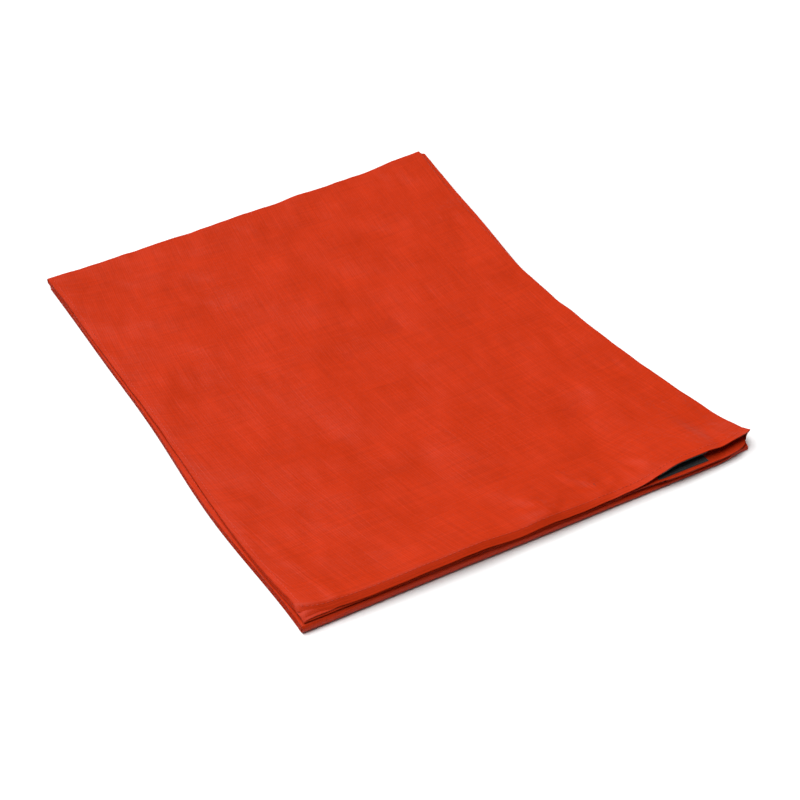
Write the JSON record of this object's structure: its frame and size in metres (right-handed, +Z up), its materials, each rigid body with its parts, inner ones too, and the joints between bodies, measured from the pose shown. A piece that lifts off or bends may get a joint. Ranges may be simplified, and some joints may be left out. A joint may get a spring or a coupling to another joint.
{
  "type": "bivy sack",
  "caption": "Folded bivy sack: a coated two-sheet sleeping bag cover, doubled widthways and Z-folded lengthways, with a hook-and-loop mouth.",
  "frame": {"origin": "centre of the folded stack's box, on its base, where it lies on a floor or table", "axes": "+Y from the bag's mouth edge to the far fold, +X from the seamed edge to the widthways fold, +Z up through the plies; the mouth's lip is on top"},
  "size_m": [0.51, 0.6577, 0.0168],
  "materials": {
    "upper_sheet": "coated tape weave, satin",
    "floor_sheet": "coated tape weave, satin",
    "side_and_foot_seams": "turned and stitched edge",
    "hook_tape": "nylon hooks, matte",
    "loop_tape": "nylon pile, matte"
  },
  "bodies": {
    "foot_panel": {"upper_sheet_foot_panel": "upper_sheet", "floor_sheet_foot_panel": "floor_sheet", "left_side_seam_foot": "side_and_foot_seams", "right_side_seam_foot": "side_and_foot_seams", "foot_seam_left_half": "side_and_foot_seams", "foot_seam_right_half": "side_and_foot_seams"},
    "middle_panel": {"upper_sheet_middle_panel": "upper_sheet", "floor_sheet_middle_panel": "floor_sheet", "left_side_seam_middle": "side_and_foot_seams", "right_side_seam_middle": "side_and_foot_seams", "upper_sheet_near_fold_left": "upper_sheet", "upper_sheet_near_fold_right": "upper_sheet", "floor_sheet_near_fold_left": "floor_sheet", "floor_sheet_near_fold_right": "floor_sheet"},
    "mouth_panel": {"upper_sheet_mouth_panel": "upper_sheet", "floor_sheet_mouth_panel": "floor_sheet", "left_side_seam_mouth": "side_and_foot_seams", "right_side_seam_mouth": "side_and_foot_seams", "upper_sheet_far_fold_left": "upper_sheet", "upper_sheet_far_fold_right": "upper_sheet", "floor_sheet_far_fold_left": "floor_sheet", "floor_sheet_far_fold_right": "floor_sheet", "loop_strip_left_inner": "loop_tape", "loop_strip_left_outer": "loop_tape", "hook_strip_right_inner": "hook_tape", "hook_strip_right_outer": "hook_tape", "loop_strip_right_inner": "loop_tape", "loop_strip_right_outer": "loop_tape"},
    "mouth_lip": {"mouth_lip": "upper_sheet", "hook_strip_left_inner": "hook_tape", "hook_strip_left_outer": "hook_tape"}
  },
  "joints": [
    {"name": "near_fold", "type": "hinge", "parent": "foot_panel", "child": "middle_panel", "pos_m": [0, -0.3246, 0.0041], "axis": [1, 0, 0], "range_deg": [0, 179.9], "deforming": ["upper_sheet_near_fold_left", "upper_sheet_near_fold_right", "floor_sheet_near_fold_left", "floor_sheet_near_fold_right"]},
    {"name": "far_fold", "type": "hinge", "parent": "middle_panel", "child": "mouth_panel", "pos_m": [0, 0.307, 0.0085], "axis": [-0.9982, -0.0607, 0], "range_deg": [0, 179.9], "deforming": ["upper_sheet_far_fold_left", "upper_sheet_far_fold_right", "floor_sheet_far_fold_left", "floor_sheet_far_fold_right"]},
    {"name": "mouth_opening", "type": "hinge", "parent": "mouth_panel", "child": "mouth_lip", "pos_m": [0, -0.25764, 0.01655], "axis": [-1, -0.0064, 0], "range_deg": [0, 20]}
  ]
}
